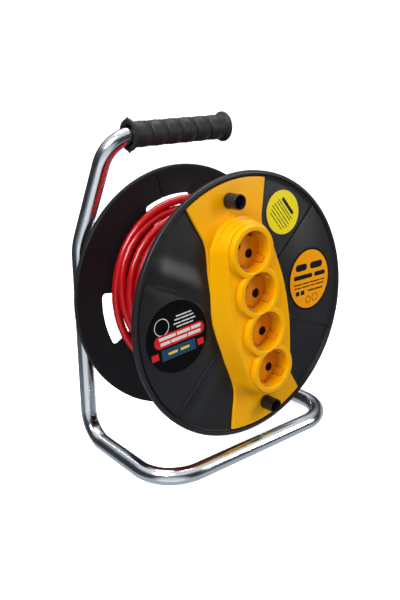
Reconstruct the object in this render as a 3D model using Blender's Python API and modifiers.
"""Extension cord reel: a plastic drum with four earthed sockets on its front, 20 m of round
three core cable wound on it, and a bent steel tube frame with a grip. Metres, +Z up.
The axle runs along Y, the sockets face -Y and the reel stands on the plane z = 0."""
import bpy
import bmesh
import math
from mathutils import Matrix, Vector

# ---------------------------------------------------------------- driving dimensions (metres)
FLANGE_R = 0.145          # outer radius of both flanges
HALF_WIDTH = 0.0613       # from the middle of the drum to the front of a rim
RIM_DEPTH = 0.007         # rim, along the axle
RIM_WIDTH = 0.0045        # rim, across
SHEET_OUT = 0.0573        # outer face of a flange's sheet
SHEET_IN = 0.0548         # inner face of a flange's sheet
CORE_R = 0.062            # winding core
CORE_WALL = 0.003
AXLE_HEIGHT = 0.1709
DRUM_TURN = -10.7         # degrees about +Y: the drum's rest position on its axle

TUBE_R = 0.009            # frame tube, 18 mm outside
TUBE_WALL = 0.0015
FRAME_Y = 0.0864          # plane of the two legs, behind the drum
BASE_LEFT = -0.1278
BASE_RIGHT = 0.1261
BASE_FRONT = -0.0683
LEG_LEAN = 0.0428         # inward lean of the left leg, metres per metre of height
HANDLE_Y = 0.0266
HANDLE_Z = 0.3553
GRIP_LEFT = -0.0818
GRIP_RIGHT = 0.0460
GRIP_R = 0.0132

SOCKET_PITCH = 0.0455
SOCKET_FRONT = 0.0862     # rim of the socket wells, from the middle of the drum
WELL_R = 0.0214
WELL_FLOOR = 0.0688
PIN_OFFSET = 0.0067       # each pin hole along X and Z, 19 mm apart on the diagonal

KNOB_RADIUS_POS = 0.1200  # winding knobs from the axle
KNOB_R = 0.0080
KNOB_LEN = 0.0175

CABLE_R = 0.00475         # 9.5 mm round cable
COIL_INNER = 0.0626
COIL_OUTER = 0.1020
COIL_HALF = 0.0538

GAP = 0.0003              # clearance between touching pieces
ORIGIN_Y = -0.0093        # puts the origin under the middle of the reel's depth

for old in list(bpy.data.objects):
    bpy.data.objects.remove(old, do_unlink=True)

PARTS = bpy.data.collections.new("extension_cord_reel")
CUTTERS = bpy.data.collections.new("cutters")
bpy.context.scene.collection.children.link(PARTS)
bpy.context.scene.collection.children.link(CUTTERS)


# ---------------------------------------------------------------- materials
def material(name, colour, rough, metal=0.0):
    m = bpy.data.materials.new(name)
    m.use_nodes = True
    b = m.node_tree.nodes["Principled BSDF"]
    b.inputs["Base Color"].default_value = (*colour, 1.0)
    b.inputs["Roughness"].default_value = rough
    b.inputs["Metallic"].default_value = metal
    m.diffuse_color = (*colour, 1.0)
    return m


CHROME = material("plated_steel", (0.70, 0.72, 0.74), 0.18, 1.0)
STEEL = material("bright_steel", (0.60, 0.60, 0.62), 0.30, 1.0)
BRASS = material("brass", (0.72, 0.55, 0.25), 0.30, 1.0)
BLACK = material("black_plastic", (0.018, 0.018, 0.020), 0.42)
RUBBER = material("black_rubber", (0.020, 0.020, 0.022), 0.65)
YELLOW = material("yellow_plastic", (0.90, 0.48, 0.010), 0.38)
OCHRE = material("yellow_insert", (0.80, 0.40, 0.010), 0.45)
RED = material("red_cable", (0.62, 0.010, 0.015), 0.28)
LABEL_Y = material("label_yellow", (0.90, 0.80, 0.05), 0.40)
LABEL_O = material("label_orange", (0.95, 0.42, 0.02), 0.40)
LABEL_K = material("label_black", (0.010, 0.010, 0.012), 0.35)
BROWN = material("wire_brown", (0.14, 0.05, 0.02), 0.45)
BLUE = material("wire_blue", (0.02, 0.10, 0.45), 0.45)
GREEN = material("wire_green_yellow", (0.15, 0.45, 0.08), 0.45)


# ---------------------------------------------------------------- helpers
def empty(name, loc, parent=None, rot=(0.0, 0.0, 0.0)):
    e = bpy.data.objects.new(name, None)
    e.empty_display_size = 0.03
    PARTS.objects.link(e)
    e.parent = parent
    e.location = loc
    e.rotation_euler = rot
    return e


def add(name, mesh, mat, parent=None, loc=(0, 0, 0), rot=(0, 0, 0), cutter=False):
    ob = bpy.data.objects.new(name, mesh)
    (CUTTERS if cutter else PARTS).objects.link(ob)
    if mat is not None and hasattr(mesh, "materials"):
        mesh.materials.append(mat)
    ob.parent = parent
    ob.location = loc
    ob.rotation_euler = rot
    if cutter:
        ob.hide_render = True
        ob.display_type = "WIRE"
    return ob


def smooth(mesh, angle=35.0):
    mesh.shade_smooth()
    mesh.set_sharp_from_angle(angle=math.radians(angle))


FRONT = (math.radians(90.0), 0.0, 0.0)     # local Z to -Y, local Y to +Z


def turned(name, profile, mat, parent=None, loc=(0, 0, 0), rot=FRONT, steps=32, closed=True,
           cutter=False):
    """A profile of (radius, height) pairs, outer side from top to bottom, turned about Z."""
    mesh = bpy.data.meshes.new(name)
    bm = bmesh.new()
    verts = [bm.verts.new((r, 0.0, h)) for r, h in profile]
    for a, b in zip(verts[:-1], verts[1:]):
        bm.edges.new((a, b))
    if closed:
        bm.edges.new((verts[-1], verts[0]))
    bm.to_mesh(mesh)
    bm.free()
    ob = add(name, mesh, mat, parent, loc, rot, cutter)
    s = ob.modifiers.new("turn", "SCREW")
    s.steps = steps
    s.render_steps = steps
    s.angle = math.radians(360.0)
    s.use_merge_vertices = True
    s.merge_threshold = 0.00002
    s.use_normal_calculate = False
    s.use_smooth_shade = False
    return ob


def prism(name, outline, z0, z1, mat, parent=None, loc=(0, 0, 0), rot=FRONT, cutter=False):
    """A flat outline of (x, y) pairs, anticlockwise, between two heights."""
    mesh = bpy.data.meshes.new(name)
    bm = bmesh.new()
    face = bm.faces.new([bm.verts.new((x, y, z0)) for x, y in outline])
    face.normal_flip()
    got = bmesh.ops.extrude_face_region(bm, geom=[face])
    up = [g for g in got["geom"] if isinstance(g, bmesh.types.BMVert)]
    bmesh.ops.translate(bm, verts=up, vec=(0.0, 0.0, z1 - z0))
    bmesh.ops.recalc_face_normals(bm, faces=bm.faces)
    bm.to_mesh(mesh)
    bm.free()
    return add(name, mesh, mat, parent, loc, rot, cutter)


def box(name, size, mat, parent=None, loc=(0, 0, 0), rot=(0, 0, 0), cutter=False):
    mesh = bpy.data.meshes.new(name)
    bm = bmesh.new()
    bmesh.ops.create_cube(bm, size=1.0)
    bmesh.ops.scale(bm, vec=size, verts=bm.verts)
    bm.to_mesh(mesh)
    bm.free()
    return add(name, mesh, mat, parent, loc, rot, cutter)


def drum_cylinder(name, r, h0, h1, x, z, parent, seg=24, mat=None, cutter=True):
    """A cylinder along the axle direction from height h0 to h1 in front of the middle."""
    mesh = bpy.data.meshes.new(name)
    bm = bmesh.new()
    bmesh.ops.create_cone(bm, cap_ends=True, segments=seg, radius1=r, radius2=r, depth=h1 - h0)
    bm.to_mesh(mesh)
    bm.free()
    return add(name, mesh, mat, parent, (x, -(h0 + h1) / 2, z), FRONT, cutter)


def boolean(ob, other, operation="DIFFERENCE"):
    m = ob.modifiers.new(operation.lower(), "BOOLEAN")
    m.operation = operation
    m.object = other
    m.solver = "EXACT"
    return m


def bevel(ob, width, segments=1, angle=40.0):
    b = ob.modifiers.new("round", "BEVEL")
    b.width = width
    b.segments = segments
    b.limit_method = "ANGLE"
    b.angle_limit = math.radians(angle)
    return b


def arc(cx, cy, r, a0, a1, n):
    """Points on an arc in degrees, both ends included."""
    out = []
    for i in range(n + 1):
        a = math.radians(a0 + (a1 - a0) * i / n)
        out.append((cx + r * math.cos(a), cy + r * math.sin(a)))
    return out


def blend(points, per):
    """Catmull-Rom points through a list of points, per points to a span."""
    out = []
    n = len(points)
    for i in range(n - 1):
        p0 = Vector(points[max(i - 1, 0)])
        p1 = Vector(points[i])
        p2 = Vector(points[i + 1])
        p3 = Vector(points[min(i + 2, n - 1)])
        for k in range(per):
            t = k / per
            a = 2 * p1
            b = (p2 - p0) * t
            c = (2 * p0 - 5 * p1 + 4 * p2 - p3) * t * t
            d = (3 * p1 - p0 - 3 * p2 + p3) * t * t * t
            out.append(0.5 * (a + b + c + d))
    out.append(Vector(points[-1]))
    return out


def filleted(corners, steps):
    """A path of straight runs joined by arcs. corners holds (point, radius) pairs."""
    pts = [Vector(corners[0][0])]
    for i in range(1, len(corners) - 1):
        p = Vector(corners[i][0])
        radius = corners[i][1]
        u = (Vector(corners[i - 1][0]) - p).normalized()
        v = (Vector(corners[i + 1][0]) - p).normalized()
        half = u.angle(v) / 2
        reach = radius / math.tan(half)
        centre = p + (u + v).normalized() * (radius / math.sin(half))
        a = p + u * reach - centre
        b = p + v * reach - centre
        total = a.angle(b)
        axis = a.cross(b).normalized()
        for k in range(steps + 1):
            pts.append(centre + Matrix.Rotation(total * k / steps, 3, axis) @ a)
    pts.append(Vector(corners[-1][0]))
    return pts


def wire(name, points, radius, mat, parent=None, resolution=2, caps=True):
    """A round rod or tube skin along a list of points."""
    curve = bpy.data.curves.new(name, "CURVE")
    curve.dimensions = "3D"
    curve.bevel_depth = radius
    curve.bevel_resolution = resolution
    curve.use_fill_caps = caps
    s = curve.splines.new("POLY")
    s.points.add(len(points) - 1)
    for q, p in zip(s.points, points):
        q.co = (p[0], p[1], p[2], 1.0)
    return add(name, curve, mat, parent)


def swept(name, points, radius, sides, start, mat, parent):
    """An open skin swept along points with no twist. The ring at index start has a flat
    facet on its underside; every other ring is carried from it along the path."""
    last = len(points) - 1
    tangents = [(points[min(i + 1, last)] - points[max(i - 1, 0)]).normalized()
                for i in range(last + 1)]
    ups = {start: Vector((0, 0, 1))}
    for step in (1, -1):
        i = start
        while 0 <= i + step <= last:
            turn = tangents[i].rotation_difference(tangents[i + step])
            ups[i + step] = (turn @ ups[i]).normalized()
            i += step
    bm = bmesh.new()
    rings = []
    for i, p in enumerate(points):
        side = tangents[i].cross(ups[i]).normalized()
        rings.append([bm.verts.new(p + radius * (math.cos(a) * ups[i] + math.sin(a) * side))
                      for a in (2 * math.pi * (k + 0.5) / sides for k in range(sides))])
    for one, two in zip(rings, rings[1:]):
        for k in range(sides):
            n = (k + 1) % sides
            bm.faces.new((one[k], one[n], two[n], two[k]))
    bmesh.ops.recalc_face_normals(bm, faces=bm.faces)
    mesh = bpy.data.meshes.new(name)
    bm.to_mesh(mesh)
    bm.free()
    return add(name, mesh, mat, parent)


# ---------------------------------------------------------------- axes
FRAME = empty("frame_origin", (0, ORIGIN_Y, 0))
DRUM = empty("drum_axis", (0, ORIGIN_Y, AXLE_HEIGHT), None, (0.0, math.radians(DRUM_TURN), 0.0))

# ---------------------------------------------------------------- frame tube
# One bent tube: handle, sloping leg, upright left leg, three sides of the foot, and a
# brace that rises behind the drum, carries the axle and is welded to the left leg.
leg_top_z = 0.2350


def left_leg(z):
    return Vector((BASE_LEFT + LEG_LEAN * z, FRAME_Y, z))


brace_end = left_leg(0.2300) + Vector((0.0150, 0.0, -0.0075))
path = filleted([
    ((GRIP_RIGHT - 0.004, HANDLE_Y, HANDLE_Z), 0),
    ((-0.1045, HANDLE_Y, HANDLE_Z), 0.034),
    (left_leg(leg_top_z), 0.050),
    ((BASE_LEFT, FRAME_Y, TUBE_R), 0.032),
    ((BASE_LEFT, BASE_FRONT, TUBE_R), 0.046),
    ((BASE_RIGHT, BASE_FRONT, TUBE_R), 0.046),
    ((BASE_RIGHT, FRAME_Y, TUBE_R), 0.032),
    ((BASE_RIGHT - 0.006, FRAME_Y, 0.075), 0.060),
    ((0.0, FRAME_Y, AXLE_HEIGHT), 0.090),
    (brace_end, 0),
], 4)
bar_start = Vector((BASE_LEFT + 0.046, BASE_FRONT, TUBE_R))
front_bar = min(range(len(path)), key=lambda i: (path[i] - bar_start).length)
frame_tube = swept("frame_tube", path, TUBE_R / math.cos(math.pi / 12), 12, front_bar, CHROME, FRAME)
wall = frame_tube.modifiers.new("wall", "SOLIDIFY")
wall.thickness = TUBE_WALL
wall.offset = -1.0
wall.use_even_offset = True
smooth(frame_tube.data)
# the axle bolt passes through both walls of the brace
bolt_hole = drum_cylinder("cut_bolt_hole", 0.0053, -0.0990, -0.0740, 0.0, AXLE_HEIGHT, FRAME, 20)
boolean(frame_tube, bolt_hole)

# ---------------------------------------------------------------- grip
TO_LEFT = (0.0, math.radians(-90.0), 0.0)     # local Z to -X
grip_mid = (GRIP_LEFT + GRIP_RIGHT) / 2
gl = (GRIP_RIGHT - GRIP_LEFT) / 2
bore = TUBE_R / math.cos(math.pi / 12) + GAP
lip = 0.0166
ribs = [(-gl + 0.0035) + k * (2 * gl - 0.007) / 6 for k in range(1, 6)]
grip_profile = [(bore, gl - 0.0110), (0.0112, gl), (0.0150, gl), (lip, gl - 0.0010),
                (lip, gl - 0.0030), (GRIP_R, gl - 0.0038)]
for h in reversed(ribs):
    grip_profile += [(GRIP_R, h + 0.0008), (GRIP_R - 0.0010, h), (GRIP_R, h - 0.0008)]
grip_profile += [(GRIP_R, -gl + 0.0038), (lip, -gl + 0.0030), (lip, -gl + 0.0010),
                 (0.0150, -gl), (0.0030, -gl), (0.0030, -gl + 0.0025), (bore, -gl + 0.0025)]
grip = turned("handle_grip", grip_profile, RUBBER, FRAME, (grip_mid, HANDLE_Y, HANDLE_Z),
              TO_LEFT, 20)

# ---------------------------------------------------------------- axle and its fasteners
tube_front = FRAME_Y - TUBE_R
tube_back = FRAME_Y + TUBE_R
axle = turned("axle", [
    (0.0, 0.0200), (0.0070, 0.0200), (0.0080, 0.0190), (0.0080, -0.0700), (0.0125, -0.0700),
    (0.0125, -(tube_front - GAP)), (0.0050, -(tube_front - GAP)), (0.0050, -0.1045),
    (0.0, -0.1045),
], STEEL, FRAME, (0, 0, AXLE_HEIGHT), FRONT, 18, closed=False)
groove = turned("cut_axle_groove", [
    (0.0066, 0.0166), (0.0100, 0.0166), (0.0100, 0.0150), (0.0066, 0.0150),
], None, FRAME, (0, 0, AXLE_HEIGHT), FRONT, 18, cutter=True)
boolean(axle, groove)
turned("axle_washer", [
    (0.0054, -(tube_back + GAP)), (0.0110, -(tube_back + GAP)),
    (0.0110, -(tube_back + GAP + 0.0015)), (0.0054, -(tube_back + GAP + 0.0015)),
], STEEL, FRAME, (0, 0, AXLE_HEIGHT), FRONT, 16)
nut_back = tube_back + 2 * GAP + 0.0015
nut = prism("axle_nut", [(0.0093 * math.cos(math.radians(60 * k + 30)),
                          0.0093 * math.sin(math.radians(60 * k + 30))) for k in range(6)],
            -nut_back - 0.0055, -nut_back, STEEL, FRAME, (0, 0, AXLE_HEIGHT))
nut_bore = drum_cylinder("cut_nut_bore", 0.0053, -0.110, -0.090, 0, AXLE_HEIGHT, FRAME, 20)
boolean(nut, nut_bore)
turned("hub_washer", [
    (0.0083, 0.0146), (0.0125, 0.0146), (0.0125, 0.0132), (0.0083, 0.0132),
], STEEL, FRAME, (0, 0, AXLE_HEIGHT), FRONT, 16)
clip = turned("hub_circlip", [
    (0.0069, 0.0163), (0.0105, 0.0163), (0.0105, 0.0153), (0.0069, 0.0153),
], STEEL, FRAME, (0, 0, AXLE_HEIGHT), FRONT, 16)
clip_gap = box("cut_circlip_gap", (0.0050, 0.0060, 0.0140), None, FRAME,
               (0, -0.0158, AXLE_HEIGHT - 0.0100), cutter=True)
boolean(clip, clip_gap)

# ---------------------------------------------------------------- drum core
core = turned("drum_core", [
    (CORE_R - CORE_WALL, SHEET_IN - GAP), (CORE_R, SHEET_IN - GAP), (CORE_R, -SHEET_IN + GAP),
    (0.0120, -SHEET_IN + GAP), (0.0120, -0.0640), (0.0084, -0.0640), (0.0084, 0.0128),
    (0.0120, 0.0128), (0.0120, -SHEET_IN + 0.0033), (CORE_R - CORE_WALL, -SHEET_IN + 0.0033),
], BLACK, DRUM, steps=32)
gland_angle = 200.0
ga = math.radians(gland_angle)
gland_dir = Vector((math.cos(ga), 0.0, math.sin(ga)))
GLAND_H = 0.0430


def radial_rot(angle):
    """Local Z pointing outward at an angle in the plane of the flanges."""
    return (0.0, math.radians(90.0 - angle), 0.0)


def radial_turned(name, profile, mat, angle, h, cutter=False, steps=16, closed=True):
    return turned(name, profile, mat, DRUM, (0, -h, 0), radial_rot(angle), steps, closed, cutter)


gland_cut = radial_turned("cut_gland_hole", [
    (0.0, CORE_R + 0.006), (0.0083, CORE_R + 0.006), (0.0083, CORE_R - 0.010),
    (0.0, CORE_R - 0.010),
], None, gland_angle, GLAND_H, True, closed=False)
boolean(core, gland_cut)

# ---------------------------------------------------------------- flanges


def flange_profile(bore_r):
    r = FLANGE_R
    w = RIM_WIDTH
    f = HALF_WIDTH
    b = HALF_WIDTH - RIM_DEPTH
    return [(bore_r, SHEET_OUT), (r - w - 0.0010, SHEET_OUT), (r - w, f - 0.0008),
            (r - w + 0.0008, f), (r - 0.0014, f), (r, f - 0.0014), (r, b + 0.0014),
            (r - 0.0014, b), (r - w, b), (r - w - 0.0010, SHEET_IN), (bore_r, SHEET_IN)]


front = turned("front_flange", flange_profile(0.0340), BLACK, DRUM, steps=56)
for side, tag in ((0.0, "right"), (180.0, "left")):
    pts = arc(0, 0, FLANGE_R - RIM_WIDTH - 0.0016, side - 33.0, side + 33.0, 10)
    s = 1.0 if side == 0.0 else -1.0
    pts += [(s * 0.0560, s * 0.0364), (s * 0.0560, -s * 0.0364)]
    pad = prism("cut_pad_" + tag, pts, SHEET_OUT - 0.0008, SHEET_OUT + 0.0014, None, DRUM,
                cutter=True)
    boolean(front, pad, "UNION")

back = turned("back_flange", flange_profile(0.0125), BLACK, DRUM,
              rot=(math.radians(-90.0), 0.0, 0.0), steps=48)
for k in range(4):
    mid = 88.0 + 90.0 * k
    outer = arc(0, 0, 0.1125, mid - 16.8, mid + 16.8, 4)
    inner = arc(0, 0, 0.0790, mid + 15.5, mid - 15.5, 3)
    win = prism("cut_window_%d" % (k + 1), outer + inner, -0.0640, -0.0500, None, DRUM,
                cutter=True)
    edge = win.modifiers.new("corners", "BEVEL")
    edge.affect = "EDGES"
    edge.width = 0.0050
    edge.segments = 2
    edge.limit_method = "ANGLE"
    edge.angle_limit = math.radians(50.0)
    mesh = win.data
    bm = bmesh.new()
    bm.from_mesh(mesh)
    layer = bm.edges.layers.float.get("bevel_weight_edge")
    if layer is None:
        layer = bm.edges.layers.float.new("bevel_weight_edge")
    for e in bm.edges:
        d = (e.verts[0].co - e.verts[1].co).normalized()
        if abs(d.z) > 0.99 and e.calc_face_angle(0.0) > math.radians(50.0):
            e[layer] = 1.0
    bm.to_mesh(mesh)
    bm.free()
    edge.limit_method = "WEIGHT"
    boolean(back, win)

# four screws hold the back flange to the web of the core
for k in range(4):
    a = math.radians(45.0 + 90.0 * k)
    x = 0.0400 * math.cos(a)
    z = 0.0400 * math.sin(a)
    hole = drum_cylinder("cut_screw_hole_%d" % (k + 1), 0.0024, -0.0600, -0.0500, x, z, DRUM, 12)
    boolean(back, hole)
    boolean(core, hole)
    turned("flange_screw_%d" % (k + 1), [
        (0.0, -0.0503), (0.0021, -0.0503), (0.0021, -SHEET_OUT - GAP), (0.0042, -SHEET_OUT - GAP),
        (0.0042, -SHEET_OUT - GAP - 0.0014), (0.0030, -SHEET_OUT - GAP - 0.0024),
        (0.0, -SHEET_OUT - GAP - 0.0024),
    ], STEEL, DRUM, (x, 0, z), FRONT, 12, closed=False)

# ---------------------------------------------------------------- socket cover
COVER_BACK = SHEET_OUT + GAP
COVER_FRONT = 0.0606
PLATEAU = 0.0805
RINGS = SOCKET_FRONT - 0.0003
socket_z = [(1.5 - k) * SOCKET_PITCH for k in range(4)]
panel_r = FLANGE_R - RIM_WIDTH - 0.0017
edge_half = [(0.0523, 0.1285), (0.0455, 0.1080), (0.0388, 0.0860), (0.0405, 0.0640),
             (0.0452, 0.0380), (0.0485, 0.0)]
right = [tuple(p) for p in blend(edge_half, 2)]
right_low = [(x, -z) for x, z in reversed(right[:-1])]
top_a = math.degrees(math.atan2(right[0][1], right[0][0]))
top_arc = arc(0, 0, panel_r, 180.0 - top_a, top_a, 10)[1:-1]
outline = right + right_low                                     # right side, top to bottom
outline += [(-x, -z) for x, z in top_arc]                       # foot of the panel
outline += [(-x, z) for x, z in reversed(right + right_low)]    # left side, bottom to top
outline += top_arc
cover = prism("socket_cover", list(reversed(outline)), COVER_BACK, COVER_FRONT, YELLOW, DRUM)


def lens(half_mid, end_r, n=20):
    """Right half of a rounded block outline round the four sockets, then mirrored."""
    zc = 1.5 * SOCKET_PITCH
    pts = []
    top = arc(0, zc, end_r, 90.0, 18.0, 5)
    side = blend([top[-1], (half_mid * 0.955, 0.030), (half_mid, 0.0)], 3)
    pts = top[:-1] + [tuple(p) for p in side]
    low = [(x, -z) for x, z in reversed(pts[:-1])]
    half = pts + low
    other = [(-x, z) for x, z in reversed(half[1:-1])]
    return half + other


def loft(name, levels, mat=None):
    """A closed solid through outlines of one point count at rising heights."""
    mesh = bpy.data.meshes.new(name)
    bm = bmesh.new()
    rows = []
    for pts, h in levels:
        rows.append([bm.verts.new((x, y, h)) for x, y in pts])
    n = len(rows[0])
    for lo, hi in zip(rows[:-1], rows[1:]):
        for i in range(n):
            j = (i + 1) % n
            bm.faces.new((lo[i], lo[j], hi[j], hi[i]))
    bm.faces.new(rows[0])
    bm.faces.new(rows[-1])
    bmesh.ops.recalc_face_normals(bm, faces=bm.faces)
    bm.to_mesh(mesh)
    bm.free()
    return add(name, mesh, mat, DRUM, (0, 0, 0), FRONT, True)


block = loft("cut_block", [
    (lens(0.0472, 0.0345), 0.0585), (lens(0.0450, 0.0330), 0.0680),
    (lens(0.0405, 0.0312), 0.0775), (lens(0.0380, 0.0298), PLATEAU),
])
boolean(cover, block, "UNION")
for k, z in enumerate(socket_z):
    ring = turned("cut_ring_%d" % (k + 1), [
        (0.0, RINGS), (0.0262, RINGS), (0.0275, RINGS - 0.0012), (0.0280, PLATEAU - 0.0010),
        (0.0, PLATEAU - 0.0010),
    ], None, DRUM, (0, 0, z), FRONT, 22, closed=False, cutter=True)
    boolean(cover, ring, "UNION")
cavity = loft("cut_cavity", [
    (lens(0.0445, 0.0318), 0.0560), (lens(0.0424, 0.0305), 0.0675),
    (lens(0.0378, 0.0287), 0.0752), (lens(0.0358, 0.0276), 0.0781),
])
boolean(cover, cavity)
for k, z in enumerate(socket_z):
    tube = drum_cylinder("cut_well_wall_%d" % (k + 1), 0.0234, 0.0657, 0.0796, 0, z, DRUM, 22)
    boolean(cover, tube, "UNION")
for k, z in enumerate(socket_z):
    bore_cut = drum_cylinder("cut_well_%d" % (k + 1), WELL_R, 0.0500, 0.0950, 0, z, DRUM, 22)
    boolean(cover, bore_cut)

# ---------------------------------------------------------------- socket floors and contacts
TILT = math.radians(45.0)                  # each socket is set 45 degrees round
for k, z in enumerate(socket_z):
    floor = turned("socket_floor_%d" % (k + 1), [
        (0.0, WELL_FLOOR), (WELL_R - GAP, WELL_FLOOR), (WELL_R - GAP, 0.0661), (0.0, 0.0661),
    ], OCHRE, DRUM, (0, 0, z), FRONT, 22, closed=False)
    for s in (1, -1):
        # guide rib on the line of the pins
        rib = box("cut_rib_%d_%s" % (k + 1, "a" if s > 0 else "b"),
                  (0.0026, 0.0130, 0.0056), None, DRUM,
                  (s * 0.0193 * math.cos(TILT), -0.0746, z - s * 0.0193 * math.sin(TILT)),
                  (0.0, TILT, 0.0), True)
        boolean(floor, rib, "UNION")
        pin = drum_cylinder("cut_pin_%d_%s" % (k + 1, "a" if s > 0 else "b"), 0.0040,
                            0.0600, 0.0700, s * PIN_OFFSET, z - s * PIN_OFFSET, DRUM, 10)
        boolean(floor, pin)
        slot = box("cut_slot_%d_%s" % (k + 1, "a" if s > 0 else "b"),
                   (0.0030, 0.0100, 0.0062), None, DRUM,
                   (s * 0.0177 * math.cos(TILT), -0.0675, z + s * 0.0177 * math.sin(TILT)),
                   (0.0, -TILT, 0.0), True)
        boolean(floor, slot)
    # sprung earth clip: one strip bent up at both ends through the floor
    half = [(0.0186, 0.0636), (0.0186, 0.0740), (0.0172, 0.0790), (0.0192, 0.0838),
            (0.0184, 0.0842), (0.0160, 0.0792), (0.0176, 0.0738), (0.0176, 0.0644)]
    strip = half + [(-x, h) for x, h in reversed(half)]
    clip_ob = prism("earth_clip_%d" % (k + 1), strip, -0.0024, 0.0024, STEEL, DRUM,
                    (0, 0, z), (0, 0, 0))
    # outline x along the diagonal, outline y to the front, thickness along the pins' line
    m = Matrix(((math.cos(TILT), 0.0, math.sin(TILT), 0.0),
                (0.0, -1.0, 0.0, 0.0),
                (math.sin(TILT), 0.0, -math.cos(TILT), 0.0),
                (0.0, 0.0, 0.0, 1.0)))
    clip_ob.matrix_local = Matrix.Translation((0, 0, z)) @ m

for name, s in (("line_bar", 1), ("neutral_bar", -1)):
    bar = box(name, (0.0040, 0.0010, 0.1640), BRASS, DRUM, (s * PIN_OFFSET, -0.0600, 0.0))
    for k, z in enumerate(socket_z):
        sleeve = drum_cylinder("cut_sleeve_%s_%d" % (name, k + 1), 0.0032, 0.0598, 0.0656,
                               s * PIN_OFFSET, z - s * PIN_OFFSET, DRUM, 8)
        boolean(bar, sleeve, "UNION")
    for k, z in enumerate(socket_z):
        hole = drum_cylinder("cut_sleeve_bore_%s_%d" % (name, k + 1), 0.0024, 0.0580, 0.0680,
                             s * PIN_OFFSET, z - s * PIN_OFFSET, DRUM, 8)
        boolean(bar, hole)
box("earth_bar", (0.0046, 0.0008, 0.1640), STEEL, DRUM, (0.0, -0.0629, 0.0))

# ---------------------------------------------------------------- cable entry inside the core
gland = radial_turned("cable_gland", [
    (CABLE_R + GAP, CORE_R - 0.0006), (0.0080, CORE_R - 0.0006), (0.0080, CORE_R - 0.0048),
    (0.0105, CORE_R - 0.0048), (0.0105, CORE_R - 0.0090), (CABLE_R + GAP, CORE_R - 0.0090),
], BLACK, gland_angle, GLAND_H)
clamp_mid = gland_dir * 0.0400 + Vector((0.0, -GLAND_H, 0.0))
clamp = box("cable_clamp", (0.0240, 0.0130, 0.0100), BLACK, DRUM, clamp_mid,
            (0.0, math.radians(-gland_angle - 90.0), 0.0))
clamp_cut = radial_turned("cut_clamp_bore", [
    (0.0, 0.0500), (CABLE_R + GAP, 0.0500), (CABLE_R + GAP, 0.0300), (0.0, 0.0300),
], None, gland_angle, GLAND_H, True, closed=False)
boolean(clamp, clamp_cut)
side_dir = Vector((-math.sin(ga), 0.0, math.cos(ga)))
for s, tag in ((1, "1"), (-1, "2")):
    c = clamp_mid + side_dir * 0.0088 * s
    hole = drum_cylinder("cut_clamp_screw_" + tag, 0.0019, 0.0330, 0.0530, c.x, c.z, DRUM, 12)
    boolean(clamp, hole)
    turned("clamp_screw_" + tag, [
        (0.0, 0.0520), (0.0026, 0.0515), (0.0030, GLAND_H + 0.0065 + GAP),
        (0.0016, GLAND_H + 0.0065 + GAP), (0.0016, 0.0340), (0.0, 0.0340),
    ], STEEL, DRUM, (c.x, 0, c.z), FRONT, 12, closed=False)

inner_end = gland_dir * 0.0330 + Vector((0.0, -GLAND_H, 0.0))
sheath = wire("cable_inner", [
    gland_dir * (CORE_R - 0.0002) + Vector((0, -GLAND_H, 0)),
    gland_dir * 0.0480 + Vector((0, -GLAND_H, 0)), inner_end], CABLE_R, RED, DRUM, 2)
lead = 0.0024
for name, mat, off, end in (
        ("wire_line", BROWN, (-lead * 0.87, lead * 0.5), (PIN_OFFSET, 0.0588, 0.0140)),
        ("wire_neutral", BLUE, (0.0, -lead), (-PIN_OFFSET, 0.0588, -0.0020)),
        ("wire_earth", GREEN, (lead * 0.87, lead * 0.5), (0.0, 0.0620, -0.0180))):
    start = inner_end - gland_dir * GAP + side_dir * off[0] + Vector((0, off[1], 0))
    fin = Vector((end[0], -end[1], end[2]))
    pts = blend([start, start - gland_dir * 0.010,
                 start * 0.45 + fin * 0.55 + Vector((0, 0.006, 0)),
                 fin + Vector((0, 0.0090, 0)), fin], 4)
    wire(name, pts, 0.0012, mat, DRUM, 1)

# ---------------------------------------------------------------- winding knobs
for tag, s in (("top", 1), ("bottom", -1)):
    axis = empty("knob_axis_" + tag, (0.0, -COVER_FRONT, s * KNOB_RADIUS_POS), DRUM)
    turned("knob_post_" + tag, [
        (0.0021, 0.0095), (0.0048, 0.0095), (0.0048, GAP), (0.0021, GAP),
    ], BLACK, axis, steps=12)
    turned("knob_screw_" + tag, [
        (0.0, 0.0128), (0.0040, 0.0124), (0.0062, 0.0108), (0.0062, 0.0098), (0.0018, 0.0098),
        (0.0018, 0.0006), (0.0, 0.0006),
    ], STEEL, axis, steps=12, closed=False)
    turned("knob_" + tag, [
        (0.0051, 0.0092), (0.0066, 0.0092), (0.0066, KNOB_LEN), (KNOB_R - 0.0004, KNOB_LEN),
        (KNOB_R, KNOB_LEN - 0.0005), (KNOB_R, 0.0009), (KNOB_R - 0.0004, 0.0005),
        (0.0051, 0.0005),
    ], BLACK, axis, steps=20)

# ---------------------------------------------------------------- labels
# thin printed ovals stuck on the front flange: half width, half height, centre x and z, height
for name, mat, half_w, half_h, x, z, h in (
        ("label_caution", LABEL_Y, 0.0250, 0.0232, 0.0715, 0.0830, SHEET_OUT),
        ("label_length", LABEL_O, 0.0330, 0.0366, 0.0958, -0.0060, SHEET_OUT + 0.0014),
        ("label_maker", LABEL_K, 0.0375, 0.0378, -0.0940, 0.0085, SHEET_OUT + 0.0014)):
    oval = [(half_w * c, half_h * t) for c, t in arc(0, 0, 1.0, 0.0, 345.0, 23)]
    prism(name, oval, h + 0.0001, h + 0.0005, mat, DRUM, (x, 0, z))

# ---------------------------------------------------------------- cable, outside the core
turned("cable_coil", [
    (COIL_INNER, COIL_HALF), (COIL_OUTER, COIL_HALF), (COIL_OUTER, -COIL_HALF),
    (COIL_INNER, -COIL_HALF),
], RED, DRUM, steps=32)
# the free end lies on the winding and the plug is tucked between the flanges
PLUG_ANGLE = -34.0
PLUG_R = 0.1205


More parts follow.
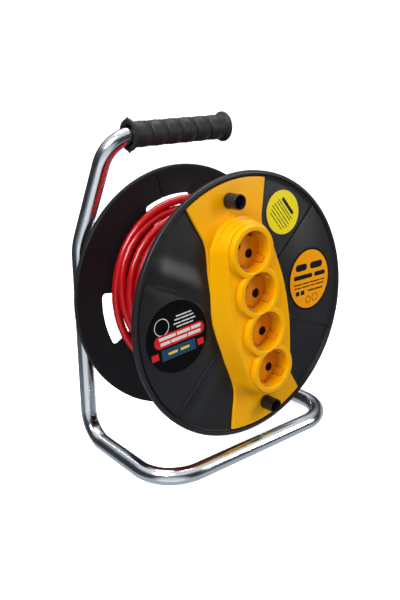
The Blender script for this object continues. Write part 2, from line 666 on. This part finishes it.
def polar(r, angle, h):
    a = math.radians(angle)
    return Vector((r * math.cos(a), -h, r * math.sin(a)))


tail_r0 = COIL_OUTER + CABLE_R / math.cos(math.pi / 8) + GAP
plug_dir = Vector((math.sin(math.radians(PLUG_ANGLE)), 0, -math.cos(math.radians(PLUG_ANGLE))))
plug_mid = polar(PLUG_R, PLUG_ANGLE, 0.012)
plug_rear = plug_mid - plug_dir * 0.0265
boot_rear = plug_rear - plug_dir * 0.0180
route = [polar(tail_r0, 52.0, -0.030), polar(tail_r0, 44.0, -0.026), polar(tail_r0, 34.0, -0.018),
         polar(tail_r0 + 0.0008, 22.0, -0.006), polar(tail_r0 + 0.0040, 10.0, 0.006),
         boot_rear - plug_dir * 0.0100, boot_rear - plug_dir * 0.0040,
         boot_rear - plug_dir * 0.0020, boot_rear - plug_dir * GAP]
wire("cable_tail", blend(route, 3), CABLE_R, RED, DRUM, 2)

along = plug_dir.to_track_quat("Z", "Y")
plug_body = turned("plug_body", [
    (0.0, 0.0265), (0.0158, 0.0265), (0.0170, 0.0250), (0.0160, 0.0060), (0.0150, -0.0120),
    (0.0125, -0.0215), (0.0075, -0.0265), (0.0, -0.0265),
], BLACK, DRUM, plug_mid, (0, 0, 0), 18, closed=False)
plug_body.rotation_mode = "QUATERNION"
plug_body.rotation_quaternion = along
boot = turned("plug_boot", [
    (CABLE_R + GAP, -0.0268), (0.0072, -0.0268), (0.0066, -0.0440), (CABLE_R + GAP, -0.0440),
], BLACK, DRUM, plug_mid, (0, 0, 0), 14)
boot.rotation_mode = "QUATERNION"
boot.rotation_quaternion = along
plug_side = Vector((0.0, 1.0, 0.0))
for s, tag in ((1, "1"), (-1, "2")):
    pin_ob = turned("plug_pin_" + tag, [
        (0.0, 0.0190), (0.0016, 0.0190), (0.0024, 0.0180), (0.0024, 0.0), (0.0, 0.0),
    ], BRASS, DRUM, plug_mid + plug_dir * (0.0265 + GAP) + plug_side * 0.0095 * s, (0, 0, 0),
        10, closed=False)
    pin_ob.rotation_mode = "QUATERNION"
    pin_ob.rotation_quaternion = along
